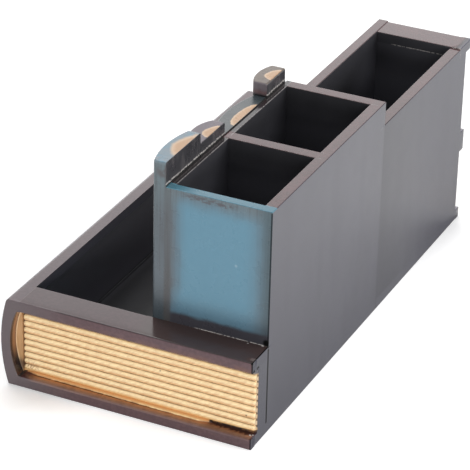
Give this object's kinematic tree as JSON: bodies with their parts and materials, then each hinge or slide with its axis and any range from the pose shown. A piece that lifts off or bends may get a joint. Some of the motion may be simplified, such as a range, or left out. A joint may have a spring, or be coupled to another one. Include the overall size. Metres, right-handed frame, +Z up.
{
  "type": "pen holder",
  "caption": "Desk pen holder shaped like a stack of antique books: a lying book forms an open tray, and upright and lying books behind it hide pen cups.",
  "frame": {"origin": "on the desk, under the middle of the whole piece's box", "axes": "+X towards the end with the gilt pages, -Y towards the spines, +Y towards the flat back, +Z up"},
  "size_m": [0.2694, 0.134, 0.1304],
  "materials": {
    "brown_lacquer": "glossy dark espresso lacquer on fibreboard, worn at the edges",
    "gilt_pages": "antique gold paint, darkened in the grooves",
    "blue_paint": "satin antique blue paint with a brown glaze at the edges",
    "plum_paint": "satin plum brown paint",
    "slate_paint": "satin slate grey paint",
    "umber_paint": "satin umber brown paint"
  },
  "bodies": {
    "root": {"bottom_cover": "brown_lacquer", "lower_spine": "brown_lacquer", "near_top_cover": "brown_lacquer", "far_top_cover": "brown_lacquer", "cup_divider": "brown_lacquer", "end_wall": "brown_lacquer", "front_wall": "brown_lacquer", "books_back_panel": "brown_lacquer", "upper_spine": "brown_lacquer", "upper_cup_board": "brown_lacquer", "upper_bottom_cover": "brown_lacquer", "upper_top_cover": "brown_lacquer", "upper_back_panel": "brown_lacquer", "near_page_block": "gilt_pages", "near_page_ribs": "gilt_pages", "far_page_block": "gilt_pages", "upper_page_block": "gilt_pages", "near_wall": "blue_paint", "book_1_spine": "blue_paint", "book_2_spine": "plum_paint", "book_3_spine": "slate_paint", "book_4_spine": "umber_paint"}
  },
  "joints": []
}
